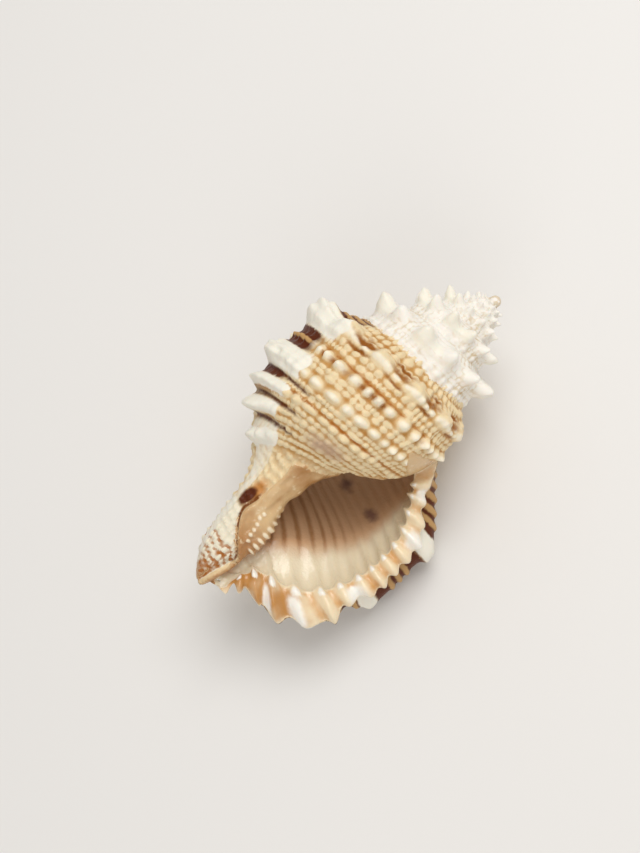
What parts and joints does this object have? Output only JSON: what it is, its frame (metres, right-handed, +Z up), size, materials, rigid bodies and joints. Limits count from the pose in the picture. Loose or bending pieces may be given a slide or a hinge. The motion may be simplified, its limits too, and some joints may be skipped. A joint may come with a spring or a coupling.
{
  "type": "frog shell",
  "caption": "Spiral sea shell with knobbed whorls, old lips left as ridges, a wide oval mouth with a flared scalloped lip, and a short open canal.",
  "frame": {"origin": "centre of the shell's box, on the level that it rests on", "axes": "+X towards the apex, along the coiling axis but for a tip of 3.8 degrees; +Z up, with the mouth facing up and rolled 24 degrees towards -Y, where the lip is"},
  "size_m": [0.0796, 0.0464, 0.0388],
  "materials": {
    "shell": "beaded cream and tan aragonite, white on the knobs, dark brown between the ribs of each old lip, glossy inside the mouth"
  },
  "bodies": {
    "root": {"frog_shell": "shell"}
  },
  "joints": []
}
